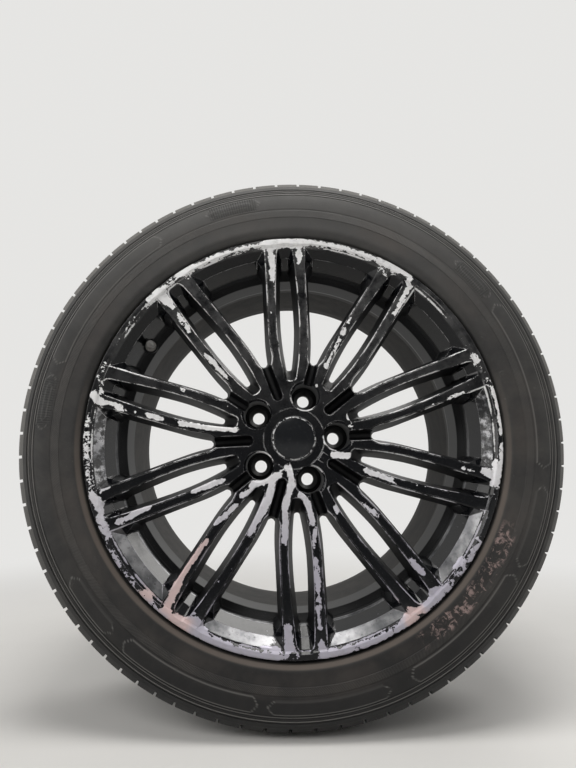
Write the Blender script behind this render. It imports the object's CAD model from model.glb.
import math
import bpy
import bmesh
import numpy as np
from mathutils import Vector, Matrix


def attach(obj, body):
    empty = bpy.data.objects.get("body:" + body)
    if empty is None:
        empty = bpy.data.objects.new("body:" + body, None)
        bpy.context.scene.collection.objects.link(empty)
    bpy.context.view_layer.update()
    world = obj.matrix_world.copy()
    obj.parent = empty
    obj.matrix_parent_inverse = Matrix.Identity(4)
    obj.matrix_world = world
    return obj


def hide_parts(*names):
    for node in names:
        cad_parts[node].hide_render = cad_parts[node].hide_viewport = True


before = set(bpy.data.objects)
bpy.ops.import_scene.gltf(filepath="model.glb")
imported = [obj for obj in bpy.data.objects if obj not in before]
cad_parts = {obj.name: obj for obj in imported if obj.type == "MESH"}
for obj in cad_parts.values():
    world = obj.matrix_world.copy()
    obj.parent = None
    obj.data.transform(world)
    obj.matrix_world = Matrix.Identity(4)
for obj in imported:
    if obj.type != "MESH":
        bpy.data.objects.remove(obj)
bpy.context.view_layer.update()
scene = bpy.context.scene
rootBody = "wheel_and_tyre"

# camera first, at the spot the photo was taken from
view = {"place": (-0.0222, -0.8031, -0.0379), "turn": 1.2, "tilt": 8.82, "lens": 25.521328}


def placeObject(name, data):
    obj = bpy.data.objects.new(name, data)
    scene.collection.objects.link(obj)
    return obj


def addCamera():
    turn, tilt = math.radians(view["turn"]), math.radians(view["tilt"])
    ahead = Vector((math.sin(turn) * math.cos(tilt), math.cos(turn) * math.cos(tilt), math.sin(tilt)))
    side = Vector((math.cos(turn), -math.sin(turn), 0))
    top = side.cross(ahead)
    data = bpy.data.cameras.new("camera")
    data.sensor_fit = "VERTICAL"
    data.sensor_height = 36
    data.lens = view["lens"]
    data.clip_start = 0.01
    cam = placeObject("camera", data)
    cam.matrix_world = Matrix((
        (side.x, top.x, -ahead.x, view["place"][0]),
        (side.y, top.y, -ahead.y, view["place"][1]),
        (side.z, top.z, -ahead.z, view["place"][2]),
        (0, 0, 0, 1)))
    scene.camera = cam


addCamera()
print("camera set")

# the wheel is drawn lying down in millimetres, axis along z, face up, then stood up like the CAD;
# ws holds its sizes
phase = 3  # degrees that the wheel is turned on its axis
ws = {
    "halfWidth": 120.65, "seat": 241.3, "flange": 258.6, "front": 133.05, "rear": -132.25,
    "lip": 248.6, "wornEdge": 236.5, "wornDepth": 118.0, "ridge": 229.3, "ridgeDepth": 87.6,
    "well": 224.5, "wellIn": 219.0, "wellFront": 77.0, "wellRear": 42.0, "barrel": 238.2, "barrelIn": 232.8,
    "mount": 39.0, "bore": 33.25, "pad": 76.0, "boltCircle": 56.0, "boltHole": 8.2, "pocket": 17.5,
    "pocketFloor": 57.0, "seatCone": 13.2, "recess": 28.2, "recessFloor": 99.2, "neck": 25.8, "neckEnd": 90.2,
    "hubFace": 106.2, "land": 38.6, "draft": math.tan(math.radians(7.8)),
    "edgeRound": 1.7, "turnSteps": 240,
}


def turnBy(p, degrees):
    c, s = math.cos(math.radians(degrees)), math.sin(math.radians(degrees))
    p = np.asarray(p, float)
    q = p.copy()
    q[:, 0] = p[:, 0] * c - p[:, 1] * s
    q[:, 1] = p[:, 0] * s + p[:, 1] * c
    return q


def stand(points):
    p = turnBy(points, phase)
    return np.stack([p[:, 0], -p[:, 2], p[:, 1]], 1) / 1000


def makeObject(name, verts, faces, standUp=True):
    mesh = bpy.data.meshes.new(name)
    v = stand(verts) if standUp else np.asarray(verts, float)
    mesh.from_pydata(v.tolist(), [], [list(map(int, f)) for f in faces])
    mesh.update()
    return placeObject(name, mesh)


def editMesh(obj, change):
    bm = bmesh.new()
    bm.from_mesh(obj.data)
    change(bm)
    bm.to_mesh(obj.data)
    bm.free()


def fixNormals(obj):
    editMesh(obj, lambda bm: bmesh.ops.recalc_face_normals(bm, faces=bm.faces))


def pointsOf(obj):
    co = np.zeros(len(obj.data.vertices) * 3, np.float32)
    obj.data.vertices.foreach_get("co", co)
    return co.reshape(-1, 3).astype(float)


def movePoints(obj, points):
    obj.data.vertices.foreach_set("co", points.ravel().astype(np.float32))


# a turned body from a closed outline of (radius, height)
def lathe(name, outline, steps, standUp=True):
    outline = [tuple(p) for p in outline]
    n = len(outline)
    verts, index = [], []
    for r, z in outline:
        if r < 1e-6:
            index.append([len(verts)] * steps)
            verts.append((0, 0, z))
        else:
            index.append(list(range(len(verts), len(verts) + steps)))
            for k in range(steps):
                a = 2 * math.pi * k / steps
                verts.append((r * math.cos(a), r * math.sin(a), z))
    faces = []
    for i in range(n):
        a, b = index[i], index[(i + 1) % n]
        if outline[i][0] < 1e-6 and outline[(i + 1) % n][0] < 1e-6:
            continue
        for k in range(steps):
            m = (k + 1) % steps
            f = []
            for v in (a[k], a[m], b[m], b[k]):
                if v not in f:
                    f.append(v)
            if len(f) > 2:
                faces.append(f)
    obj = makeObject(name, verts, faces, standUp)
    fixNormals(obj)
    return obj


# outline points with a corner radius each, rounded by short curves
def roundOutline(points, bend=4):
    pts = [np.array(p[:2], float) for p in points]
    rad = [p[2] if len(p) > 2 else 0 for p in points]
    out = []
    n = len(pts)
    for i in range(n):
        p, q, r = pts[i - 1], pts[i], pts[(i + 1) % n]
        if rad[i] <= 0:
            out.append(tuple(q))
            continue
        u = (p - q) / np.linalg.norm(p - q)
        v = (r - q) / np.linalg.norm(r - q)
        half = math.acos(max(-1, min(1, float(u @ v)))) / 2
        cut = min(rad[i] / math.tan(half), 0.48 * np.linalg.norm(p - q), 0.48 * np.linalg.norm(r - q))
        a, b = q + u * cut, q + v * cut
        for k in range(bend + 1):
            t = k / bend
            out.append(tuple((1 - t) ** 2 * a + 2 * t * (1 - t) * q + t ** 2 * b))
    return out


# face depth at the design points, and softened between them
faceKnots = {"r": [0, 38.6, 90, 150, 248.6], "z": [106.2, 106.8, 109.2, 117.0, 129.6]}
faceRadii = np.arange(0, 262, 2.0)
faceSoft = np.interp(faceRadii, faceKnots["r"] + [262], faceKnots["z"] + [131.3])
softPart = faceRadii[4:-1] < 236
for _ in range(3):
    faceSoft[4:-1] = np.where(softPart, np.convolve(faceSoft, np.ones(7) / 7, "same")[4:-1], faceSoft[4:-1])


def faceZ(r):
    return np.interp(r, faceRadii, faceSoft)


def backZ(r):
    thick = np.interp(r, [90, 150, ws["ridge"]], [55, 43, 41])
    return np.interp(r, faceKnots["r"], faceKnots["z"]) - thick


def clamp01(t):
    return max(0.0, min(1.0, t))


def slotHalf(u):
    if u < 156:
        return 7.4 + 7.5 * (1 - (1 - clamp01((u - 79.3) / 76.7)) ** 2.2)
    return 14.9 - 4.2 * clamp01((u - 164) / 76) ** 1.5


def bladeHalf(u):
    return 17.3 + 8.5 * (1 - (1 - clamp01((u - 80) / 69)) ** 2.1)


slotIn = 74.3  # where a slot inside a pair begins
ringDepths = {2: (ws["wornEdge"], [93.2, 105, ws["wornDepth"]]),
              3: (ws["ridge"], [65.2, 81, ws["ridgeDepth"]]), 4: (212, [40, 66, 74])}


# the rings of the cutters: above the face, on it, at the worn edge, at the ridge and behind the spokes
def ringZ(k, r):
    if k == 0:
        return ws["front"] + 7
    if k == 1:
        return float(faceZ(min(r, ws["lip"]))) + 0.02
    ends, depths = ringDepths[k]
    return float(np.interp(r, [slotIn, 150, ends], depths))


ringR = [ws["lip"] + 8.2, ws["lip"] - 0.3, ws["wornEdge"], ws["ridge"], 212.0]


def comeIn(r, z):
    return (float(faceZ(min(r, ws["lip"]))) - z) * ws["draft"]


def smoothLine(points, rounds=2):
    pts = [np.array(p, float) for p in points]
    for _ in range(rounds):
        new = [pts[0]]
        for a, b in zip(pts[:-1], pts[1:]):
            new += [a * 0.75 + b * 0.25, a * 0.25 + b * 0.75]
        new.append(pts[-1])
        pts = new
    return pts


# how a slot's outer end narrows on each ring: distance from the end in mm, share of the half width
tipOnFace = [(0, 0.40), (0.7, 0.64), (2.4, 0.83), (6, 0.97)]
tipWorn = [(0, 0.42), (0.7, 0.53), (2.4, 0.66), (6, 0.86)]
tipBehind = [(0, 0.5), (0.6, 0.7), (1.8, 0.86), (5, 0.98)]
slotTips = [tipOnFace, tipOnFace, tipWorn, tipBehind, tipBehind]


def slotRing(k):
    z0 = ringZ(k, 82.3)
    u0 = slotIn + max(0.0, float(faceZ(slotIn)) - z0) * math.tan(math.radians(23))
    rc = [6, 6, 5.5, 5, 4.5][k]
    ue = ringR[k]
    ze = ringZ(k, min(ue, ws["lip"]))
    he = slotHalf(ue - 10) - comeIn(ue - 10, ze)
    hc = slotHalf(u0 + rc) - comeIn(u0 + rc, z0)
    cap = []
    for t in np.linspace(0, 1, 7)[:-1]:  # rounded inner end
        a = t * math.pi / 2
        cap.append((u0 + rc * (1 - math.cos(a) ** 0.9), hc * math.sin(a) ** 0.75, z0))
    side = []
    u1, u2 = u0 + rc, ue - 12
    for t in np.linspace(0, 1, 19):
        u = u1 + (u2 - u1) * t
        z = ringZ(k, u)
        side.append((u, slotHalf(u) - comeIn(u, z), z))
    tip = smoothLine([side[-1]] + [(ue - e[0], he * e[1], ze) for e in slotTips[k][::-1]], 1)[1:]
    half = cap + side + [tuple(p) for p in tip] + [(ue, 0, ze)]
    return mirrorRing(half)


def windowRing(k):
    x0 = [94, 96, 100, 104, 110][k]
    z0 = ringZ(k, x0)
    v0 = [5.5, 5.5, 4.6, 3.6, 2.2][k]
    ue = ringR[k]
    sa = math.radians(18)
    c, s = math.cos(sa), math.sin(sa)
    last = 220 if k < 4 else 202
    side = []
    for u in list(np.linspace(106, 149, 9)) + list(np.linspace(149, last, 8))[1:]:
        z = ringZ(k, u)
        w = -(bladeHalf(u) + comeIn(u, z))
        side.append((u * c - w * s, u * s + w * c, z))
    zc = ringZ(k, min(ue, ws["lip"]))
    wc = 25.8 + comeIn(248, zc) if k < 2 else [36.7, 37.9, 37.7][k - 2]
    xc = math.sqrt(ue * ue - wc * wc)
    corner = (xc * c + wc * s, xc * s - wc * c)
    ac = math.atan2(corner[1], corner[0])
    arc = [(ue * math.cos(ac * (1 - i / 9)), ue * math.sin(ac * (1 - i / 9)), zc) for i in range(0, 10)]
    mouth = [(x0, 0, z0), (x0 + 0.1, v0 * 0.6, z0), (x0 + 1.3, v0, z0)]
    soft = smoothLine([mouth[-1]] + side[:3], 1)[1:-1]
    half = mouth + [tuple(p) for p in soft] + side[3:] + arc
    return mirrorRing(half)


# half a ring, from the axis line and back to it, closed by its mirror image
def mirrorRing(half):
    half = [tuple(p) for p in half]
    first = 1 if abs(half[0][1]) < 1e-9 else 0
    last = len(half) - 1 if abs(half[-1][1]) < 1e-9 else len(half)
    back = [(p[0], -p[1], p[2]) for p in half[first:last]][::-1]
    return np.array(half + back)


# normals that point out of a closed outline
def outwardFrom(p):
    d = np.roll(p, -1, 0) - np.roll(p, 1, 0)
    d /= np.maximum(np.linalg.norm(d, axis=1, keepdims=True), 1e-9)
    area = 0.5 * np.sum(p[:, 0] * np.roll(p[:, 1], -1) - np.roll(p[:, 0], -1) * p[:, 1])
    return np.stack([d[:, 1], -d[:, 0]], 1) * (1 if area > 0 else -1)


# moves a ring outward, less near the lip
def grow(ring, by):
    p = ring[:, :2]
    n = outwardFrom(p)
    r = np.hypot(p[:, 0], p[:, 1])
    keep = np.interp(r, [244, 247.5], [1.0, 0.25])
    out = ring.copy()
    out[:, :2] += n * (by * keep)[:, None]
    return out


def cutterRings(ringOf, roundBy):
    top, face, worn = ringOf(0), ringOf(1), ringOf(2)
    rings = [grow(top, roundBy + 0.4)]
    steps = 5
    for i in range(steps):  # the rounded edge
        a = math.radians(90 * i / (steps - 1))
        ring = grow(face, roundBy * (1 - math.sin(a)))
        ring[:, 2] -= roundBy * (1 - math.cos(a))
        if i == 0:
            ring[:, 2] += 0.05
        t = (face[:, 2] - ring[:, 2]) / (face[:, 2] - worn[:, 2])
        ring[:, :2] += (worn[:, :2] - face[:, :2]) * t[:, None]
        rings.append(ring)
    rings.append(worn)
    rings += [ringOf(3), ringOf(4)]
    return rings


def stackObject(name, rings, turn=0):
    n = len(rings[0])
    faces = [list(range(n))]
    for k in range(len(rings) - 1):
        for i in range(n):
            j = (i + 1) % n
            faces.append([k * n + i, k * n + j, (k + 1) * n + j, (k + 1) * n + i])
    faces.append([(len(rings) - 1) * n + i for i in range(n)][::-1])
    bm = bmesh.new()
    points = [bm.verts.new(v) for v in stand(turnBy(np.concatenate(rings), turn))]
    for f in faces:
        bm.faces.new([points[i] for i in f])
    bmesh.ops.triangulate(bm, faces=[f for f in bm.faces if len(f.verts) > 4])
    bmesh.ops.recalc_face_normals(bm, faces=bm.faces)
    mesh = bpy.data.meshes.new(name)
    bm.to_mesh(mesh)
    bm.free()
    return placeObject(name, mesh)


# channels between the pairs, round at the inner end and along the floor
channel = {"end": 105.0, "mouth": 6.5, "floor": 4.2, "edge": 1.3, "depthIn": 21.0, "depthOut": 33.0,
           "round": 2.6, "evenStart": 64.0, "oddStart": 52.0}


def channelRing(zIn, zOut, half, start):
    pts = []
    for a in np.linspace(0.0, math.pi / 2, 9):
        pts.append((start + half * (1 - math.cos(a)), half * math.sin(a), zIn))
    for t in np.linspace(0, 1, 6)[1:]:
        pts.append((start + half + (channel["end"] - start - half) * t, half, zIn + (zOut - zIn) * t))
    return np.array(pts + [(p[0], -p[1], p[2]) for p in pts[1:]][::-1])


def grooveRings(start):
    mouth, floor, edge, bend = channel["mouth"], channel["floor"], channel["edge"], channel["round"]
    zIn, zOut = float(faceZ(start + 6)), float(faceZ(101))
    rings = [channelRing(ws["front"], ws["front"], mouth + edge + 0.3, start - edge - 0.3)]
    for i in range(4):
        a = math.radians(90 * i / 3)
        out, down = edge * (1 - math.sin(a)), edge * (1 - math.cos(a))
        rings.append(channelRing(zIn - down + 0.02, zOut - down + 0.02, mouth + out, start - out))
    zIn, zOut = zIn - channel["depthIn"] + bend, zOut - channel["depthOut"] + bend
    start += mouth - floor + 0.8
    rings.append(channelRing(zIn, zOut, floor, start))
    for a in (30, 55, 75):
        c, s = math.cos(math.radians(a)), math.sin(math.radians(a))
        rings.append(channelRing(zIn - bend * s, zOut - bend * s, floor * c, start + floor * (1 - c)))
    return rings


def merge(obj, other, how):
    m = obj.modifiers.new("merge", "BOOLEAN")
    m.operation = how
    m.object = other
    m.solver = "MANIFOLD"
    bpy.context.view_layer.objects.active = obj
    bpy.ops.object.modifier_apply(modifier=m.name)
    bpy.data.objects.remove(other)


def cut(obj, cutter):
    merge(obj, cutter, "DIFFERENCE")


def join(obj, other):
    merge(obj, other, "UNION")


def wheelOutline():
    w = ws
    pts = [
        (w["bore"], w["mount"], 0.6), (w["pad"], w["mount"], 1.5), (w["pad"] + 2, 49, 3),
        (90, float(backZ(90)), 4), (120, float(backZ(120))), (150, float(backZ(150))),
        (190, float(backZ(190))), (w["ridge"] - 2.8, w["ridgeDepth"] - 2.8), (w["wellIn"], w["wellFront"], 3),
        (w["wellIn"], w["wellRear"], 4), (227.8, 12, 6), (w["barrelIn"], -12, 6),
        (w["barrelIn"] + 0.8, -98, 6), (235.3, -118.65, 2), (237.3, -128.25, 2), (248.3, -131.65, 2),
        (w["flange"], w["rear"], 3.4), (w["flange"], -124.4, 1.4), (254.6, -w["halfWidth"]),
        (245.0, -w["halfWidth"]), (w["seat"], -114.45), (240.1, -100.45), (241.2, -97.85), (240.5, -94.45),
        (w["barrel"], -90.45), (w["barrel"], -8), (231.2, 14), (w["well"], 40), (w["well"], 73.2),
        (232.3, 81.2), (239.1, 91.45), (240.3, 94.65), (241.2, 97.85), (240.1, 100.45), (w["seat"], 114.45),
        (245.0, w["halfWidth"]), (254.6, w["halfWidth"]), (w["flange"], 124.4, 1.4),
        (w["flange"], w["front"], 3.0), (w["lip"] + 1.9, w["front"] - 0.15, 2.4),
        (w["lip"], w["front"] - 2.2, 0.8), (w["lip"], 129.6, 1.4),
    ]
    pts += [(r, float(faceZ(r))) for r in np.arange(246, 41, -5.0)]
    pts += [(w["land"] + 0.7, 106.85, 0.4), (w["land"], w["hubFace"], 0.4), (w["recess"], w["hubFace"], 1.0),
            (w["recess"], w["recessFloor"]), (w["neck"], w["recessFloor"]),
            (w["neck"], w["neckEnd"]), (30.85, w["neckEnd"] - 2), (30.85, 65), (w["bore"], 63)]
    return roundOutline(pts)


valve = {"lean": 14, "turn": 144, "radius": 228.3, "height": 84.5}


# a turned body on the valve's axis
def onValve(name, outline, steps):
    lean = math.radians(valve["lean"])
    base = np.array([valve["radius"], 0, valve["height"]])
    along = np.array([-math.sin(lean), 0, math.cos(lean)])
    across = np.array([math.cos(lean), 0, math.sin(lean)])
    obj = lathe(name, outline, steps, standUp=False)
    co = pointsOf(obj)
    p = base + co[:, 2:3] * along + co[:, 0:1] * across + co[:, 1:2] * np.array([0, 1, 0])
    movePoints(obj, stand(turnBy(p, valve["turn"])))
    fixNormals(obj)
    return obj


def buildWheel():
    wheel = lathe("wheelBody", wheelOutline(), ws["turnSteps"])
    slot, window = cutterRings(slotRing, ws["edgeRound"]), cutterRings(windowRing, ws["edgeRound"])
    for i in range(10):
        cut(wheel, stackObject("cutter", slot, 36 * (i + 0.5)))
        cut(wheel, stackObject("cutter", window, 36 * i))
        cut(wheel, stackObject("cutter", grooveRings(channel["oddStart" if i % 2 else "evenStart"]), 36 * i))
    w = ws
    pocket = roundOutline([
        (0, 30), (w["boltHole"], 30), (w["boltHole"], 48, 0.4), (w["seatCone"], w["pocketFloor"], 0.5),
        (15.9, w["pocketFloor"], 0.8), (15.9, 59.4, 0.8), (w["pocket"], 60.2, 0.6), (w["pocket"], 105.0, 1.6),
        (w["pocket"] + 1.6, 106.9, 1.6), (w["pocket"] + 6, 112), (0, 112)], 5)
    for i in range(5):
        tool = lathe("cutter", pocket, 72, standUp=False)
        movePoints(tool, stand(turnBy(pointsOf(tool) + [w["boltCircle"], 0, 0], 72 * i)))
        fixNormals(tool)
        cut(wheel, tool)
    join(wheel, onValve("boss", [(0, -8), (9.8, -8), (9.8, 3.0), (9.2, 3.6), (0, 3.6)], 48))
    cut(wheel, onValve("cutter", [(0, -30), (5.75, -30), (5.75, 3.6), (7.6, 3.6), (7.6, 24), (0, 24)], 48))
    # bare inspection pad on the hub
    pad = []
    for z, g in ((104.2, 0), (106.9, 0), (107.3, -0.4)):
        x, y = 4.8 + g, 6 + g
        pad.append(np.array([(45.2 - x, -y, z), (45.2 + x, -y, z), (45.2 + x, y, z), (45.2 - x, y, z)]))
    join(wheel, stackObject("pad", pad, -36))
    return wheel


wheel = buildWheel()
print("wheel cut:", len(wheel.data.vertices), "points,", len(wheel.data.polygons), "faces")


# where the paint has flaked off: x, y, x, y along the face in mm, half width, how solid, 1 where it is pink
flakes = [
    (-165, 194, -153, 182, 6.3, 6), (-153, 182, -146, 173, 3.4, 5), (-140, 164, -135, 153, 2.6, 3),
    (-133, 152, -127, 144, 3.4, 4), (-107, 110, -99, 102, 3.4, 3), (-96, 99, -86, 86, 2.7, 2),
    (-84, 84, -81, 80, 1.9, 2), (-126, 211, -124, 209, 2.6, 3), (-133, 219, -129, 217, 4.1, 5),
    (-168, 191, -175, 186, 2.6, 3), (-245, 64, -236, 56, 4.8, 5), (-236, 56, -214, 51, 3, 4),
    (-220, 52, -213, 44, 2.3, 3), (-182, 38, -163, 32, 3, 3), (-208, 46, -207, 46, 1.5, 2),
    (-196, 42, -194, 41, 1.5, 2), (-143, 26, -119, 21, 3, 5), (-119, 21, -74, 14, 3.4, 6),
    (-139, 70, -137, 67, 2.3, 3), (-240, 88, -236, 79, 1.9, 2), (-237, 71, -235, 69, 1.9, 3),
    (-236, -50, -222, -42, 3.4, 3), (-247, -56, -236, -69, 4.5, 4), (-239, -73, -236, -78, 3, 4),
    (-218, -91, -182, -74, 3.7, 4), (-128, -59, -92, -48, 3.4, 4), (-232, -94, -228, -102, 1.9, 2),
    (-163, -195, -153, -204, 5.9, 6), (-160, -191, -148, -166, 5.2, 6, 1),
    (-148, -166, -135, -146, 4.1, 5, 1), (-135, -146, -113, -119, 3, 4, 1), (-102, -99, -77, -80, 3.4, 5),
    (-68, -68, -53, -58, 3.1, 4), (-138, -209, -120, -215, 6, 5), (-129, -200, -126, -207, 3, 3),
    (-187, -171, -179, -176, 3.3, 3, 1), (-61, -115, -50, -96, 3.4, 4), (-50, -96, -34, -70, 5.4, 6),
    (-54, -55, -22, -46, 4.6, 5), (-31, -58, -35, -71, 5.4, 6), (-22, -42, -17, -40, 2.3, 3),
    (-8, -35, -6, -58, 3.9, 5), (-6, -58, -13, -77, 4.6, 6), (-15, -77, -18, -127, 4.2, 5),
    (4, -71, 12, -81, 3.9, 5), (12, -81, 17, -104, 3.5, 4), (20, -113, 17, -134, 2.7, 3),
    (18, -148, 19, -183, 3.4, 3), (18, -193, 19, -225, 3.4, 2), (-20, -223, -19, -245, 5.6, 5),
    (-31, -244, -53, -239, 3.7, 4), (19, -241, 20, -249, 4.5, 4), (47, -88, 49, -95, 2.3, 3),
    (81, -84, 97, -101, 2.7, 4), (133, -155, 145, -169, 4.1, 4), (155, -192, 164, -190, 5.6, 5),
    (124, -210, 135, -212, 4.9, 5, 1), (116, -221, 123, -215, 3, 3), (171, -172, 193, -156, 2.6, 3),
    (49, -24, 66, -25, 4.2, 5), (66, -25, 70, -24, 2.3, 4), (89, -45, 118, -58, 3.5, 5),
    (121, -61, 124, -63, 2.3, 3), (205, -47, 222, -52, 2.6, 3), (232, -53, 245, -62, 4.9, 5),
    (213, -86, 217, -88, 1.9, 2), (232, 89, 237, 84, 3.4, 5), (228, 81, 233, 79, 1.9, 3),
    (199, 40, 217, 46, 1.9, 3), (177, 34, 180, 35, 1.9, 3), (187, 37, 190, 38, 1.1, 2),
    (69, 26, 73, 16, 1.9, 3), (70, 12, 74, 13, 1.5, 2), (138, 217, 158, 203, 5.2, 6),
    (158, 203, 158, 185, 4.1, 6), (158, 185, 139, 153, 3.4, 5), (120, 215, 130, 204, 2.6, 3),
    (77, 145, 83, 153, 1.9, 3), (69, 135, 76, 143, 1.9, 3), (46, 90, 73, 137, 2.3, 2),
    (-18, 248, -17, 229, 4.5, 6), (-17, 229, -17, 207, 3.8, 5), (18, 249, 19, 232, 4.5, 6),
    (17, 232, 17, 226, 2.2, 3), (-20, 164, -19, 161, 2.3, 4), (25, 116, 25, 114, 1.1, 3),
    (-17, 203, -16, 181, 1.1, 1.5), (-31, -20, -23, -28, 1.5, 2), (-20, -30, -6, -32, 1.9, 3),
    (-14, -32, -11, -38, 2.3, 3), (-3, 78, 6, 79, 1.9, 2), (4, 81, 6, 78, 1.9, 2),
    (29, 93, 30, 91, 1.2, 2), (37, 1, 40, -8, 1.5, 2), (-31, -8, -32, -12, 1.2, 2),
    (-28, 89, -29, 86, 1.2, 1.5), (32, 67, 33, 66, 1.5, 2)]
# the same on the lip: from, to in degrees, inner and outer radius, how solid, 1 where it is pink
lipFlakes = [
    (54, 62, 249, 258, 3.6), (60, 88, 249, 256.5, 4), (84, 97, 246, 258.5, 6),
    (95, 109, 249.5, 255.5, 3.4), (107, 119, 249, 256, 3.8), (117, 124, 250, 258.5, 5),
    (124, 135, 249, 257, 4), (134, 150, 250, 254, 0.8), (150, 173, 251, 254.5, 0.2),
    (172, 186, 250, 257.5, 1.7), (186, 200, 249, 255, 1.2), (198, 206, 247, 256, 3),
    (206, 221, 252, 259, 1.6), (221, 233, 252, 259, 2.4), (232, 238, 247, 259, 4, 1),
    (238, 247, 248, 259, 4), (246, 263, 250, 259, 5), (263, 274, 252, 256, 0.2), (274, 286, 249, 258, 3),
    (285, 299, 250, 257.5, 2.6), (298, 304, 250, 257, 3, 1), (303, 311, 247, 257, 4),
    (311, 330, 250, 257, 1.8), (330, 343, 251, 255, 0.2), (343, 351, 247, 257.5, 4),
    (350, 357, 252, 258.6, 2), (357, 372, 253.4, 258.8, 5), (12, 20, 250, 255, 0.6),
    (20, 52, 251, 253.5, -0.6)]
# bright scoured stretches of the slope under the lip: from, to, how much
scoured = [
    (200, 232, 0.75), (240, 262, 0.95), (276, 303, 0.95), (311, 339, 0.75), (164, 198, 0.35),
    (-16, 16, 0.3)]


def outlineDistance(x, y, ring):
    p = ring[:, :2]
    q = np.roll(p, -1, 0)
    best = np.full(len(x), 1e9)
    for a, b in zip(p, q):
        d = b - a
        n = float(d @ d)
        if n < 1e-9:
            continue
        t = np.clip(((x - a[0]) * d[0] + (y - a[1]) * d[1]) / n, 0, 1)
        best = np.minimum(best, np.hypot(x - a[0] - t * d[0], y - a[1] - t * d[1]))
    return best


def fromPolar(r, degrees):
    return r * np.cos(np.radians(degrees)), r * np.sin(np.radians(degrees))


# degrees inside an arc, negative outside it
def insideArc(angle, a0, a1):
    return (a1 - a0) / 2 - np.abs((angle - (a0 + a1) / 2 + 180) % 360 - 180)


def addField(obj, name, values):
    layer = obj.data.attributes.new(name, "FLOAT", "POINT")
    layer.data.foreach_set("value", np.asarray(values, np.float32))


# distances and flake fields that the paint's nodes read
def markWheel(obj):
    co = pointsOf(obj) * 1000
    n = len(co)
    x, y, z = turnBy(np.stack([co[:, 0], co[:, 2], -co[:, 1]], 1), -phase).T
    r = np.hypot(x, y)
    angle = np.degrees(np.arctan2(y, x))
    deep = np.maximum(0, faceZ(np.minimum(r, ws["lip"])) - z)
    fold = np.abs((angle + 18) % 36 - 18)  # from a window's middle toward a slot's middle
    edge = outlineDistance(*fromPolar(r, fold), windowRing(1))
    edge = np.minimum(edge, outlineDistance(*fromPolar(r, 18 - fold), slotRing(1)))
    px, py = fromPolar(r, np.abs((angle + 36) % 72 - 36))
    edge = np.minimum(edge, np.abs(np.hypot(px - ws["boltCircle"], py) - ws["pocket"] - 0.8))
    edge = np.where(deep > 2.2, 9.0, edge)
    addField(obj, "edgeDist", np.clip(edge, 0, 9))
    flake = np.full(n, -14.0)
    pink = np.zeros(n)
    for x1, y1, x2, y2, half, solid, *tint in flakes:
        dx, dy = x2 - x1, y2 - y1
        t = np.clip(((x - x1) * dx + (y - y1) * dy) / max(dx * dx + dy * dy, 1e-6), 0, 1)
        f = np.minimum(half - np.hypot(x - x1 - t * dx, y - y1 - t * dy), solid)
        f -= np.maximum(0, deep - 2.0) * 0.8
        flake = np.maximum(flake, f)
        if tint:
            pink = np.maximum(pink, np.clip(f + 5, 0, 5) / 5)
    for a0, a1, r0, r1, solid, *tint in lipFlakes:
        f = np.minimum(np.minimum(r - r0, r1 - r) + 1.0, insideArc(angle, a0, a1) * 4.4)
        f = np.minimum(f, solid) * 0.85 - 1.05 - np.maximum(0, 126 - z) * 0.8
        flake = np.maximum(flake, f)
        if tint:
            pink = np.maximum(pink, np.clip(f + 4, 0, 4) / 4)
    addField(obj, "flake", np.clip(flake, -14, 6))
    addField(obj, "pink", pink)
    addField(obj, "deep", np.clip(deep, 0, 20))
    slope = np.zeros(n)
    for a0, a1, much in scoured:
        slope = np.maximum(slope, np.clip(insideArc(angle, a0, a1) / 3, 0, 1) * much)
    addField(obj, "scour", slope * (r > 225))


# smooth faces with an edge kept where they meet at more than the given angle
def shade(obj, degrees):
    def smooth(bm):
        for f in bm.faces:
            f.smooth = True
        for e in bm.edges:
            e.smooth = not (len(e.link_faces) == 2 and e.calc_face_angle(0) > math.radians(degrees))

    editMesh(obj, smooth)
    m = obj.modifiers.new("normals", "WEIGHTED_NORMAL")
    m.keep_sharp = True
    m.weight = 60


def clean(obj, gap=2e-5):
    def weld(bm):
        bmesh.ops.remove_doubles(bm, verts=bm.verts, dist=gap)
        bmesh.ops.dissolve_degenerate(bm, edges=bm.edges, dist=gap)

    editMesh(obj, weld)


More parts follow.
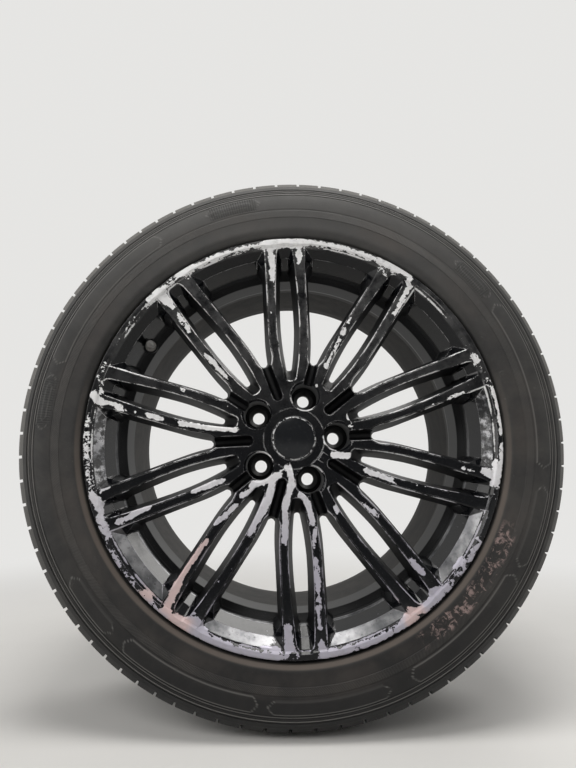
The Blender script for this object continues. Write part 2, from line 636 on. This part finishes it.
# node helper, for a new material or for the world
class Nodes:
    def __init__(self, name, world=None):
        self.mat = world or bpy.data.materials.new(name)
        self.mat.use_nodes = True
        self.tree = self.mat.node_tree
        if not world:
            self.tree.nodes.clear()
            self.out = self.tree.nodes.new("ShaderNodeOutputMaterial")

    def add(self, kind, inputs=None, **props):
        node = self.tree.nodes.new(kind)
        for key, value in props.items():
            setattr(node, key, value)
        for key, value in (inputs or {}).items():
            socket = node.inputs[key]
            if hasattr(value, "links"):
                self.tree.links.new(value, socket)
            else:
                socket.default_value = value
        return node

    def math(self, op, a, b=0.0, clamp=False):
        return self.add("ShaderNodeMath", {0: a, 1: b}, operation=op, use_clamp=clamp).outputs[0]

    def times(self, a, b, clamp=False):
        return self.math("MULTIPLY", a, b, clamp)

    def plus(self, a, b):
        return self.math("ADD", a, b)

    def minus(self, a, b):
        return self.math("SUBTRACT", a, b)

    def most(self, a, b):
        return self.math("MAXIMUM", a, b)

    def least(self, a, b):
        return self.math("MINIMUM", a, b)

    def ramp(self, value, low, high):
        return self.add("ShaderNodeMapRange", {0: value, 1: low, 2: high}, clamp=True,
                        interpolation_type="SMOOTHSTEP").outputs[0]

    def noise(self, place, scale, detail=3.0, rough=0.55, warp=0.0):
        return self.add("ShaderNodeTexNoise", {"Vector": place, "Scale": scale, "Detail": detail,
                                               "Roughness": rough, "Distortion": warp}).outputs[0]

    def mix(self, t, a, b):
        return self.add("ShaderNodeMix", {0: t, 6: a, 7: b}, data_type="RGBA").outputs[2]

    def field(self, name):
        return self.add("ShaderNodeAttribute", attribute_name=name).outputs["Fac"]

    def place(self):
        return self.add("ShaderNodeTexCoord").outputs["Object"]

    def polar(self, place):
        xyz = self.add("ShaderNodeSeparateXYZ", {0: place})
        x, z = xyz.outputs[0], xyz.outputs[2]
        r = self.math("SQRT", self.plus(self.times(x, x), self.times(z, z)))
        return r, self.math("ARCTAN2", z, x), xyz

    def bump(self, height, strength, distance, under=None):
        inputs = {"Height": height, "Strength": strength, "Distance": distance}
        if under is not None:
            inputs["Normal"] = under
        return self.add("ShaderNodeBump", inputs).outputs[0]

    def finish(self, color, rough, metal=0.0, normal=None, **constants):
        inputs = {"Base Color": color, "Roughness": rough, "Metallic": metal}
        if normal is not None:
            inputs["Normal"] = normal
        node = self.add("ShaderNodeBsdfPrincipled", inputs)
        for key, value in constants.items():
            node.inputs[key.replace("_", " ")].default_value = value
        self.tree.links.new(node.outputs[0], self.out.inputs[0])
        return self.mat


paintLook = {
    "black": (0.0042, 0.0046, 0.0058, 1), "bare": (0.84, 0.84, 0.85, 1), "lilac": (0.4, 0.385, 0.45, 1),
    "pink": (0.62, 0.45, 0.42, 1), "stain": (0.3, 0.29, 0.3, 1), "haze": (0.1, 0.1, 0.102, 1),
    "dust": (0.034, 0.03, 0.026, 1), "rearBrown": (0.008, 0.0072, 0.0065, 1), "speck": (0.1, 0.1, 0.1, 1),
    "scourPale": (0.24, 0.24, 0.247, 1), "scourDark": (0.075, 0.077, 0.082, 1),
    "scourPit": (0.06, 0.06, 0.06, 1), "edgeRound": 0.0012, "flakeLift": 0.3, "flakeBreak": 0.62,
    "edgeWear": 0.85, "creaseWear": 0.55, "gloss": 0.1, "glossSpread": 0.16, "rearRough": 0.72,
    "wallRough": 0.52, "bareRough": 0.44, "scourRough": 0.3, "flakeStep": 0.00018}


def paintMaterial():
    n, look = Nodes("flakedGlossBlack"), paintLook
    p = n.place()
    r, _, xyz = n.polar(p)
    up, away = xyz.outputs[2], xyz.outputs[1]
    fine = n.noise(p, 420, 3, 0.6)
    speck = n.noise(p, 900, 2, 0.5)
    # flakes break along little flat sided scales
    bigScale = n.add("ShaderNodeTexVoronoi", {"Vector": p, "Scale": 165.0}).outputs["Color"]
    smallScale = n.add("ShaderNodeTexVoronoi", {"Vector": p, "Scale": 430.0}).outputs["Color"]
    ragged = n.plus(n.times(n.minus(bigScale, 0.5), 3.2), n.times(n.minus(smallScale, 0.5), 2.2))
    ragged = n.plus(ragged, n.times(n.minus(n.noise(p, 95, 4, 0.6), 0.55), 9.0))
    flakeField = n.plus(n.plus(n.field("flake"), look["flakeLift"]), n.times(ragged, look["flakeBreak"]))
    bare = n.ramp(flakeField, 0.0, 0.3)
    # worn edges
    edge = n.field("edgeDist")
    patch = n.noise(p, 34, 3, 0.6)
    edgeWear = n.plus(n.times(n.minus(patch, 0.5), 7.0), n.plus(0.35, n.times(n.minus(fine, 0.5), 2.4)))
    # thin worn lines where two faces meet
    rounded = n.add("ShaderNodeBevel", {"Radius": look["edgeRound"]}, samples=4).outputs[0]
    flat = n.add("ShaderNodeNewGeometry").outputs["Normal"]
    turned = n.add("ShaderNodeVectorMath", {0: rounded, 1: flat}, operation="DOT_PRODUCT").outputs["Value"]
    crease = n.times(n.ramp(turned, 0.985, 0.955), n.ramp(n.plus(patch, n.times(fine, 0.4)), 0.62, 0.78))
    edgeBare = n.times(n.ramp(n.minus(n.least(edgeWear, 0.95), edge), -0.2, 0.15), look["edgeWear"])
    chips = n.ramp(n.noise(p, 230, 2, 0.5), 0.735, 0.75)
    chips = n.times(chips, n.ramp(n.noise(p, 14, 2), 0.5, 0.62))
    bare = n.most(n.most(bare, edgeBare), n.most(chips, n.times(crease, look["creaseWear"])))
    bare = n.times(bare, n.ramp(away, -0.098, -0.104), clamp=True)
    # colours
    tone = n.mix(n.ramp(up, 0.02, -0.17), look["bare"], look["lilac"])
    tone = n.mix(n.times(n.field("pink"), 0.75), tone, look["pink"])
    tone = n.mix(n.times(n.ramp(n.noise(p, 160, 4, 0.65), 0.45, 0.75), 0.35), tone, look["stain"])
    rear = n.times(n.ramp(away, -0.05, -0.01), n.ramp(r, 0.2, 0.214))
    haze = n.times(n.ramp(n.noise(p, 38, 5, 0.7), 0.3, 0.7), n.ramp(up, -0.02, 0.2))
    haze = n.times(haze, n.ramp(n.field("deep"), 2.5, 1.0))
    paint = n.mix(n.times(haze, 0.75), look["black"], look["haze"])
    dusty = n.mix(n.ramp(n.noise(p, 22, 5, 0.7, 0.5), 0.3, 0.75), look["rearBrown"], look["dust"])
    paint = n.mix(rear, paint, dusty)
    specks = n.times(n.ramp(speck, 0.66, 0.72), 0.35)
    paint = n.mix(specks, paint, look["speck"])
    # scoured slope
    slopeBand = n.times(n.ramp(away, -0.1172, -0.1178), n.ramp(away, -0.1334, -0.1322))
    slopeBand = n.times(n.times(slopeBand, n.ramp(r, 0.2352, 0.236)), n.ramp(n.field("deep"), 0.8, 1.6))
    worn = n.plus(n.times(n.field("scour"), 1.15), n.times(n.minus(n.noise(p, 110, 4, 0.7), 0.5), 1.3))
    scourField = n.times(slopeBand, n.ramp(worn, 0.3, 0.5))
    scourTone = n.mix(n.ramp(n.noise(p, 48, 3, 0.6), 0.3, 0.7), look["scourPale"], look["scourDark"])
    scourTone = n.mix(n.times(n.ramp(n.noise(p, 300, 3, 0.7), 0.6, 0.66), 0.7), scourTone, look["scourPit"])
    # the polished line along the ridge behind the spokes
    ridge = n.times(n.ramp(r, 0.2282, 0.229), n.ramp(r, 0.2312, 0.2304))
    ridge = n.times(n.times(ridge, n.ramp(away, -0.084, -0.086)), n.ramp(away, -0.093, -0.0905))
    scourField = n.most(scourField, n.times(ridge, n.ramp(up, 0.09, -0.06)))
    color = n.mix(scourField, paint, scourTone)
    color = n.mix(bare, color, tone)
    dulled = n.ramp(n.noise(p, 70, 5, 0.7), 0.35, 0.8)
    paintRough = n.plus(n.times(dulled, look["glossSpread"]), look["gloss"])
    paintRough = n.most(paintRough, n.times(rear, look["rearRough"]))
    walls = n.times(n.ramp(n.field("deep"), 1.5, 4.0), n.ramp(r, 0.232, 0.228))
    paintRough = n.most(paintRough, n.times(walls, look["wallRough"]))
    rough = n.most(paintRough, n.times(bare, look["bareRough"]))
    rough = n.most(rough, n.times(scourField, look["scourRough"]))
    metal = n.most(n.times(bare, 0.15), n.times(scourField, 0.85))
    height = n.minus(n.times(n.noise(p, 700, 2), 0.12), bare)
    normal = n.bump(height, 0.55, look["flakeStep"], rounded)
    normal = n.bump(n.noise(p, 30, 2), 0.05, 0.0006, normal)
    return n.finish(color, rough, metal, normal, Specular_IOR_Level=0.26)


wheelPaint = paintMaterial()


def dress(obj, name, material, replaced=(), body=rootBody):
    obj.name = name
    obj.data.name = name
    obj.data.materials.clear()
    obj.data.materials.append(material)
    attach(obj, body)
    if replaced:
        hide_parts(*replaced)
    return obj


clean(wheel)
markWheel(wheel)
shade(wheel, 24)
dress(wheel, "wheel_casting", wheelPaint, ["wheel"])
print("wheel dressed")

# tyre: rows across the profile, columns around it; heights stand out along the row's normal
tyreSize = {"radius": 348.2, "slots": 80, "slotWidth": 3.6, "drift": 1.5,
            "sideColumns": 900, "backColumns": 360}
sideRows = [
    (255, 120.8), (257.2, 121.2), (258.3, 122), (259.4, 124), (260, 126.2), (260.9, 128.6), (262.2, 131),
    (264, 133.2), (266, 135.4), (267.2, 136.6), (268.6, 137.3), (270.4, 137.7), (272.6, 137.8),
    (275, 137.95), (277.5, 138.05), (280, 138.2), (282, 138.4), (283.6, 138.5), (284.4, 138.5),
    (284.9, 139), (286.5, 139.05), (288.5, 139), (290.5, 139), (292.3, 138.95), (293.4, 138.9),
    (294, 138.8), (294.5, 138.4), (295.2, 138.4), (295.7, 138.75), (297, 138.75), (298.5, 138.7),
    (300, 138.65), (301.5, 138.55), (303, 138.45), (304.5, 138.3), (306, 138.1), (307.5, 137.85),
    (309, 137.6), (310.5, 137.25), (312, 136.9), (313.4, 136.5), (314.6, 136.2), (315.3, 135.95),
    (315.8, 135.3), (316.5, 135.1), (317, 135.5), (318.2, 135), (318.7, 134.4), (319.4, 134.2),
    (319.9, 134.55), (321.2, 134), (321.8, 133.2), (322.6, 132.9), (323.2, 133.3), (324.2, 132.8),
    (324.7, 132), (325.5, 131.7), (326.1, 132.2), (327.6, 131.3), (329.2, 130.2), (331.5, 128.6)]
sideBack = [(329, 124), (322, 126), (308, 129.6), (290, 130.2), (272, 128.6), (262, 124), (257, 119)]
# raised panels: from, to in degrees, inner and outer radius, how far the ends point, height in mm
panels = [
    (98.5, 112, 299, 315, 3, 0.5), (124, 163, 296.5, 315, 2.4, 0.45), (165.5, 178.5, 299, 315, 3, 0.5),
    (-7, 33.5, 296.5, 315, 2.4, 0.45), (35.5, 47.5, 299, 315, 3, 0.5), (100.5, 111, 303, 310, 2, 0.5),
    (167.5, 176.5, 303, 310, 2, 0.5), (37.5, 46, 303, 310, 2, 0.5), (212, 227, 299, 315, 3, 0.5),
    (230, 262, 296.5, 315, 2.4, 0.45), (264, 291, 299, 315, 3, 0.5), (296, 328, 296.5, 315, 2.4, 0.45),
    (330, 349, 299, 315, 3, 0.5)]
rosyArc = (301, 339)  # where the side is scuffed to a reddish tone


def gridPiece(name, rows, turns, lift, skew=None):
    rows = np.array(rows, float)
    m = len(rows)
    nrm = outwardFrom(rows)
    th = np.radians(turns)[None, :] + (np.zeros((m, 1)) if skew is None else np.radians(skew)[:, None])
    r, z = lift(rows, nrm, np.degrees(th))
    x, y = r * np.cos(th), r * np.sin(th)
    k = len(turns)
    verts = stand(np.stack([x.ravel(), y.ravel(), z.ravel()], 1))
    i = np.arange(m)[:, None]
    j = np.arange(k)[None, :]
    i2, j2 = (i + 1) % m, (j + 1) % k
    quads = np.stack([i * k + j, i * k + j2, i2 * k + j2, i2 * k + j], -1).reshape(-1, 4)
    mesh = bpy.data.meshes.new(name)
    mesh.vertices.add(len(verts))
    mesh.vertices.foreach_set("co", verts.ravel().astype(np.float32))
    mesh.loops.add(quads.size)
    mesh.loops.foreach_set("vertex_index", quads.ravel().astype(np.int32))
    mesh.polygons.add(len(quads))
    mesh.polygons.foreach_set("loop_start", np.arange(0, quads.size, 4, dtype=np.int32))
    mesh.update(calc_edges=True)
    mesh.validate()
    obj = placeObject(name, mesh)
    fixNormals(obj)
    return obj


def step01(t):
    t = np.clip(t, 0, 1)
    return t * t * (3 - 2 * t)


# degrees inside a panel whose ends come to a blunt point
def insidePanel(r, angle, panel):
    a0, a1, r0, r1, point = panel[:5]
    return insideArc(angle, a0, a1) - point * 0.5 * np.abs(r - (r0 + r1) / 2) / ((r1 - r0) / 2)


def panelHeight(r, angle):
    h = np.zeros_like(r)
    for panel in panels:
        r0, r1, high = panel[2], panel[3], panel[5]
        inside = step01(insidePanel(r, angle + 3, panel) * 5.2 / 1.2 + 0.5)
        h += inside * step01((r - r0) / 0.8 + 0.5) * step01((r1 - r) / 0.8 + 0.5) * high
    return h


def sideLift(rows, nrm, angle):
    r = np.repeat(rows[:, 0:1], angle.shape[1], 1)
    z = np.repeat(rows[:, 1:2], angle.shape[1], 1)
    front = (z > 128) & (r > 268)
    h = np.where(front, panelHeight(r, angle), 0)
    return r + h * nrm[:, 0:1], z + h * nrm[:, 1:2]


rubberLook = {
    "dark": (0.02, 0.02, 0.0205, 1), "worn": (0.036, 0.035, 0.034, 1), "dust": (0.075, 0.07, 0.064, 1),
    "scuff": (0.13, 0.125, 0.12, 1), "grit": (0.14, 0.135, 0.13, 1), "dry": (0.13, 0.128, 0.125, 1),
    "damp": (0.005, 0.005, 0.0055, 1), "treadPale": (0.12, 0.116, 0.11, 1),
    "groove": (0.003, 0.003, 0.003, 1),
    "raised": (0.19, 0.185, 0.178, 1), "rib": (0.13, 0.105, 0.088, 1), "brown": (0.075, 0.064, 0.058, 1),
    "hatch": (0.1, 0.095, 0.09, 1), "panel": (0.022, 0.022, 0.022, 1), "rosy": (0.34, 0.25, 0.235, 1)}


def rubberMaterial(name, tread=False):
    n, look = Nodes(name), rubberLook
    p = n.place()
    r, a, xyz = n.polar(p)
    base = n.mix(n.ramp(n.noise(p, 26, 5, 0.65, 0.4), 0.3, 0.75), look["dark"], look["worn"])
    dust = n.times(n.ramp(n.noise(p, 9, 5, 0.7, 0.6), 0.42, 0.8), 0.5)
    base = n.mix(dust, base, look["dust"])
    scuff = n.times(n.ramp(n.noise(p, 55, 6, 0.75, 1.2), 0.6, 0.72), n.ramp(n.noise(p, 11, 2), 0.5, 0.6))
    base = n.mix(n.times(scuff, 0.4), base, look["scuff"])
    grit = n.ramp(n.noise(p, 520, 2, 0.6), 0.7, 0.76)
    base = n.mix(n.times(grit, 0.35), base, look["grit"])
    # dry and pale above, damp and dark near the floor
    base = n.mix(n.times(n.ramp(xyz.outputs[2], 0.05, 0.36), 0.45), base, look["dry"])
    base = n.mix(n.times(n.ramp(xyz.outputs[2], -0.02, -0.3), 0.72), base, look["damp"])
    rough = n.plus(n.times(n.noise(p, 45, 4), 0.22), 0.52)
    grain = n.noise(p, 850, 3, 0.6)
    if tread:
        base = n.mix(n.ramp(xyz.outputs[2], -0.3, 0.1), base, look["treadPale"])
        rings = n.math("SINE", n.times(xyz.outputs[1], 5200.0))
        height = n.plus(n.times(grain, 0.8), n.times(rings, 0.05))
        normal = n.bump(height, 0.35, 0.0005)
        return n.finish(base, rough, 0.0, normal, Specular_IOR_Level=0.35)

    def band(low, high, soft=0.0004):
        return n.times(n.ramp(r, low - soft, low + soft), n.ramp(r, high + soft, high - soft))

    # dark in the ring grooves, pale on their edges and on the rib beside the rim
    dark = n.most(n.most(band(0.3212, 0.3221), band(0.3241, 0.3251)), band(0.3152, 0.3158))
    base = n.mix(n.times(dark, 0.9), base, look["groove"])
    pale = n.most(band(0.3226, 0.3235), n.times(band(0.3172, 0.3184), 0.6))
    pale = n.most(pale, n.times(n.field("border"), 0.8))
    base = n.mix(n.times(pale, 0.8), base, look["raised"])
    rib = n.times(band(0.2622, 0.2668, 0.0012), n.ramp(xyz.outputs[2], 0.12, -0.08))
    base = n.mix(n.times(rib, 0.6), base, look["rib"])
    brown = n.times(band(0.27, 0.298, 0.006), n.ramp(n.noise(p, 18, 4, 0.6), 0.35, 0.7))
    base = n.mix(n.times(brown, 0.35), base, look["brown"])
    # fine moulded lines in a band, and in the short panels
    wave = n.math("SINE", n.plus(n.times(a, 900.0), n.times(r, 2600.0)))
    hatchBand = band(0.2852, 0.2932)
    base = n.mix(n.times(n.times(n.ramp(wave, 0.1, 0.8), hatchBand), 0.35), base, look["hatch"])
    radial = n.math("SINE", n.times(a, 620.0))
    upper = n.times(n.ramp(r, 0.2968, 0.2976), n.ramp(r, 0.3152, 0.3144))
    inPanel = n.times(upper, n.field("hatch"))
    height = n.plus(n.times(n.times(wave, hatchBand), 0.5), n.times(n.times(radial, inPanel), 0.6))
    height = n.plus(height, n.times(grain, 0.5))
    normal = n.bump(height, 0.6, 0.00045)
    base = n.mix(n.times(inPanel, 0.45), base, look["panel"])
    rosy = n.times(n.field("rosy"), n.ramp(n.noise(p, 95, 5, 0.7, 1.0), 0.5, 0.62))
    base = n.mix(n.times(rosy, 0.7), base, look["rosy"])
    return n.finish(base, rough, 0.0, normal, Specular_IOR_Level=0.32)


def buildTyreSide():
    turns = np.arange(tyreSize["sideColumns"]) * 360.0 / tyreSize["sideColumns"]
    obj = gridPiece("tyre_face_side", sideRows + sideBack, turns, sideLift)
    co = pointsOf(obj) * 1000
    r = np.hypot(co[:, 0], co[:, 2])
    world = np.degrees(np.arctan2(co[:, 2], co[:, 0]))
    hatch, border = np.zeros(len(r)), np.zeros(len(r))
    for panel in panels:
        a0, a1, r0, r1 = panel[:4]
        if 297 < r0 < 300 and a1 - a0 < 15:  # the short panels are finely ribbed
            hatch = np.maximum(hatch, np.clip((insideArc(world, a0, a1) - 0.8) * 3, 0, 1))
        inside = np.minimum(np.minimum(insidePanel(r, world, panel) * 5.2, r - r0), r1 - r)
        border = np.maximum(border, np.clip(1 - np.abs(inside - 0.3) / 0.9, 0, 1))
    addField(obj, "hatch", hatch)
    rosy = np.clip(insideArc(world, *rosyArc) / 3, 0, 1)
    addField(obj, "rosy", rosy * np.clip((r - 268) / 2, 0, 1) * np.clip((289 - r) / 2, 0, 1))
    addField(obj, "border", border * (co[:, 1] < -120))
    return obj


def slotAngle(i, side):
    return 360 / tyreSize["slots"] * (i + 0.25 * side) + tyreSize["drift"] * math.sin(math.radians(18 * i))


treadHalf = [
    (331.5, 128.6), (333.4, 126.9), (335.2, 125.2), (337.8, 122.4), (340.6, 118.6), (342.6, 114.8),
    (344.2, 110), (345.4, 104.5), (346.3, 98), (346.8, 93), (347, 89.4), (347.1, 88.9), (347.35, 83),
    (347.55, 77), (347.7, 71.6), (347.6, 71.25), (343.3, 70.1), (343.2, 62), (347.7, 60.8), (347.8, 60.3),
    (347.9, 56), (347.9, 50.2), (348, 49.8), (348, 44), (348.05, 38.2), (348.05, 37.8), (348.1, 32),
    (348.1, 27.7), (348, 27.25), (343.7, 26.1), (343.6, 18), (348, 16.8), (348.1, 16.3), (348.15, 10),
    (348.15, 9.6)]


def buildTread():
    t = tyreSize
    half = np.degrees(t["slotWidth"] / 2 / t["radius"])
    turns = []
    for i in range(t["slots"]):
        a, b = slotAngle(i, 0), slotAngle(i + 1, 0)
        turns += [a - half - 0.012, a - half + 0.012, a + half - 0.012, a + half + 0.012]
        mid = (a + b) / 2
        turns += [(a + half + mid) / 2, mid - 0.07, mid - 0.055]
        turns += [mid + 0.055, mid + 0.07, (b - half + mid) / 2]
    kind = np.array([0, 1, 1, 0, 0, 0, 2, 2, 0, 0] * t["slots"])  # 1 in a shoulder slot, 2 in a sipe
    inner = [(326, -124), (334, -112), (337, -90), (338, 0), (337, 90), (334, 112), (326, 124)]
    rows = treadHalf + [(p[0], -p[1]) for p in treadHalf[::-1]] + inner
    zAll = np.array(rows)[:, 1]
    skew = np.interp(zAll, [-128, -60, 0, 60, 128], [-1.125, -0.6, 0, 0.6, 1.125])
    ribs = np.abs(zAll)
    skew += np.where(ribs < 61, np.sign(zAll) * (61 - ribs) * 0.022, 0)

    def lift(rows, nrm, angle):
        r = np.repeat(rows[:, 0:1], angle.shape[1], 1)
        z = np.repeat(rows[:, 1:2], angle.shape[1], 1)
        outer = (np.arange(len(rows)) < len(rows) - len(inner))[:, None]
        az = np.abs(z)
        floor = 344 - 0.2773 * (az - 89)  # of the shoulder slots
        slots, sipes = (kind == 1)[None, :] & outer, (kind == 2)[None, :] & outer
        r = np.where(slots & (az > 89.2) & (az < 125.6), np.minimum(r, floor), r)
        onRib = ((az > 76.5) & (az < 104)) | ((az > 37.9) & (az < 50.1)) | (az < 9.8)
        r = np.where(sipes & onRib, r - 2.2, r)
        besideGroove = ((az > 56) & (az < 60.9)) | ((az > 27.2) & (az < 32.1))
        return np.where(slots & besideGroove, r - 2.6, r), z

    return gridPiece("tyre_tread", rows, np.array(turns), lift, skew)


def buildBackSide():
    rows = [(p[0], -p[1]) for p in sideRows[::2]] + [(331.5, -128.6)] + [(p[0], -p[1]) for p in sideBack]
    turns = np.arange(tyreSize["backColumns"]) * 360.0 / tyreSize["backColumns"]
    return gridPiece("tyre_back_side", rows, turns, sideLift)


sideRubber, treadRubber = rubberMaterial("dustySidewall"), rubberMaterial("wornTread", True)
tyreFace = buildTyreSide()
shade(tyreFace, 40)
dress(tyreFace, "tyre_face_side", sideRubber, ["tyre"])
tread = buildTread()
shade(tread, 35)
dress(tread, "tyre_tread", treadRubber, ["tyre"])
tyreBack = buildBackSide()
for layerName in ("hatch", "rosy", "border"):
    addField(tyreBack, layerName, np.zeros(len(tyreBack.data.vertices)))
shade(tyreBack, 40)
dress(tyreBack, "tyre_back_side", sideRubber, ["tyre"])
print("tyre built")


capLook = {"black": (0.008, 0.009, 0.011, 1), "dust": (0.05, 0.05, 0.052, 1), "worn": (0.55, 0.55, 0.56, 1)}


def capMaterial():
    n = Nodes("capGlossBlack")
    p = n.place()
    r = n.polar(p)[0]
    dust = n.times(n.ramp(n.noise(p, 150, 5, 0.7), 0.5, 0.8), 0.3)
    color = n.mix(dust, capLook["black"], capLook["dust"])
    atRim = n.times(n.ramp(r, 0.0256, 0.0266), n.ramp(r, 0.0281, 0.0277))
    worn = n.times(n.ramp(n.noise(p, 260, 3, 0.6), 0.49, 0.53), atRim)
    color = n.mix(worn, color, capLook["worn"])
    rough = n.plus(n.times(n.noise(p, 120, 4), 0.16), 0.1)
    rough = n.most(rough, n.times(worn, 0.4))
    normal = n.bump(n.noise(p, 240, 4, 0.6), 0.12, 0.0004)
    return n.finish(color, rough, 0.0, normal, Specular_IOR_Level=0.3)


capShape = {"radius": 28.0, "disc": 24.6, "top": 107.6, "dome": 2.2}
capPaint = capMaterial()


def buildCap():
    c = capShape
    z = c["top"]
    rim = roundOutline([
        (c["disc"] + 0.35, 102), (c["radius"], 102), (c["radius"], z - 1.6, 1.0),
        (c["radius"] - 1.9, z, 1.0), (c["disc"] + 0.35, z, 0.3)], 5)
    ring = lathe("cap_rim", rim, 128)
    disc = [(0, 103), (c["disc"] + 0.3, 103), (c["disc"] + 0.3, z - 0.5)]
    for t in (88, 76, 66, 57, 48, 40, 32, 24, 16, 8):
        s = math.sin(math.radians(t))
        disc.append((c["disc"] * s, z - 0.35 + c["dome"] * (1 - s ** 2)))
    disc += [(0, z - 0.35 + c["dome"])]
    dome = lathe("cap_disc", disc, 128)
    return ring, dome


capRing, capDome = buildCap()
shade(capRing, 40)
shade(capDome, 50)
dress(capRing, "cap_rim", capPaint, ["centre_cap"])
dress(capDome, "cap_disc", capPaint, ["cap_emblem_disc"])


def plainMaterial(name, color, dirt, rough, metal=0.0, scale=300):
    n = Nodes(name)
    p = n.place()
    tone = n.mix(n.ramp(n.noise(p, scale, 5, 0.65), 0.35, 0.7), color, dirt)
    uneven = n.plus(n.times(n.noise(p, scale * 1.7, 3), 0.2), rough)
    return n.finish(tone, uneven, metal, n.bump(n.noise(p, scale * 4, 2), 0.3, 0.0002))


finishes = {
    "centre_cap": capPaint, "cap_emblem_disc": capPaint,
    "cap_retaining_ring": plainMaterial("springWire", (0.55, 0.55, 0.53, 1), (0.3, 0.28, 0.25, 1), 0.3, 1.0),
    "valve_stem": plainMaterial("stemMetal", (0.3, 0.29, 0.28, 1), (0.14, 0.13, 0.12, 1), 0.4, 0.8),
    "valve_grommet": plainMaterial("grommetRubber", (0.02, 0.02, 0.02, 1), (0.05, 0.05, 0.045, 1), 0.7),
    "valve_core_body": plainMaterial("brass", (0.72, 0.52, 0.22, 1), (0.4, 0.29, 0.14, 1), 0.3, 1.0),
    "valve_cap": plainMaterial("dustyCap", (0.19, 0.185, 0.18, 1), (0.08, 0.078, 0.075, 1), 0.5),
    "pressure_sensor": plainMaterial("sensorPlastic", (0.03, 0.03, 0.032, 1), (0.07, 0.068, 0.065, 1),
                                     0.45, 0.0, 120),
    "tyre": treadRubber, "wheel": wheelPaint}
finishes["valve_collar_nut"] = finishes["valve_stem"]
finishes["valve_core_pin"] = finishes["valve_core_body"]
finishes["valve_core_seal"] = finishes["valve_cap_seal"] = finishes["valve_grommet"]
finishes["valve_core_spring"] = finishes["sensor_screw"] = finishes["cap_retaining_ring"]
for name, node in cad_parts.items():
    node.data.materials.clear()
    node.data.materials.append(finishes[name])
print("small pieces finished")

# studio: a wide floor that fades into a pale surround, so that every side of the wheel can be seen
studio = {"floor": -0.3482, "reach": 7.0, "pale": (0.82, 0.812, 0.795, 1),
          "shade": (0.79, 0.782, 0.765, 1), "surround": (0.79, 0.785, 0.77, 1),
          "fill": 0.11, "roomSide": 0.2, "fadeFrom": 0.6, "fadeTo": 1.5}


# 1 where a surface or the surround is looked at, straight or in a reflection
def lookedAt(n):
    path = n.add("ShaderNodeLightPath").outputs
    seen = n.most(path["Is Camera Ray"], path["Is Glossy Ray"])
    return n.most(seen, path["Is Transmission Ray"])


def studioMaterial():
    n = Nodes("paleStudio")
    p = n.place()
    tone = n.mix(n.ramp(n.noise(p, 3, 4, 0.6), 0.3, 0.7), studio["pale"], studio["shade"])
    n.finish(tone, 0.85, 0.0, n.bump(n.noise(p, 400, 3), 0.15, 0.0006))
    near = n.tree.nodes["Principled BSDF"].outputs[0]
    far = n.add("ShaderNodeEmission", {"Color": studio["surround"]}).outputs[0]
    away = n.add("ShaderNodeVectorMath", {0: p}, operation="LENGTH").outputs["Value"]
    fade = n.times(n.ramp(away, studio["fadeFrom"], studio["fadeTo"]), lookedAt(n))
    both = n.add("ShaderNodeMixShader", {0: fade, 1: near, 2: far}).outputs[0]
    n.tree.links.new(both, n.out.inputs[0])
    return n.mat


def buildStudio():
    verts, faces = [(0, 0, studio["floor"])], []
    for k in range(72):
        a = math.radians(5 * k)
        verts.append((studio["reach"] * math.cos(a), studio["reach"] * math.sin(a), studio["floor"]))
        faces.append((0, k + 1, (k + 1) % 72 + 1))
    floor = makeObject("studio_floor", verts, faces, standUp=False)
    floor.data.materials.append(studioMaterial())
    world = bpy.data.worlds.new("studio")
    scene.world = world
    n = Nodes("studio", world)
    # the room on the viewer's side is dimmer in a reflection, so gloss black stays black and its edges shine
    y = n.add("ShaderNodeSeparateXYZ", {0: n.add("ShaderNodeTexCoord").outputs["Generated"]}).outputs[1]
    side = n.add("ShaderNodeMapRange", {0: y, 1: -0.7, 2: 0.3, 3: studio["roomSide"], 4: 1.0}).outputs[0]
    straight = n.add("ShaderNodeLightPath").outputs["Is Camera Ray"]
    seen = n.times(lookedAt(n), n.most(straight, side))
    level = n.add("ShaderNodeMapRange", {0: seen, 3: studio["fill"], 4: 1.0}).outputs[0]
    back = n.tree.nodes["Background"]
    back.inputs[0].default_value = studio["surround"]
    n.tree.links.new(level, back.inputs[1])


lamps = [
    # name, place, aim, width, height, watts
    ("ceiling", (0.1, -0.55, 1.7), (0, -0.15, 0), 1.0, 0.6, 19),
    ("frontHigh", (-0.8, -1.9, 1.6), (0, 0, 0.05), 1.7, 1.0, 18),
    ("leftSide", (-1.9, -0.75, 0.6), (0, 0, 0), 0.8, 1.4, 14),
    ("rightSide", (1.9, -0.9, 0.5), (0, 0, 0), 0.6, 1.3, 6),
    ("rear", (0.7, 1.6, 1.2), (0, 0, 0), 1.4, 1.0, 16)]


def addLamps():
    for name, place, aim, wide, high, watts in lamps:
        data = bpy.data.lights.new(name, "AREA")
        data.shape = "RECTANGLE"
        data.size, data.size_y = wide, high
        data.energy = watts
        data.color = (1.0, 0.985, 0.96)
        obj = placeObject(name, data)
        obj.location = place
        obj.visible_camera = False
        obj.rotation_euler = (Vector(aim) - Vector(place)).to_track_quat("-Z", "Y").to_euler()


buildStudio()
addLamps()
scene.view_settings.view_transform = "Standard"
print("studio ready")
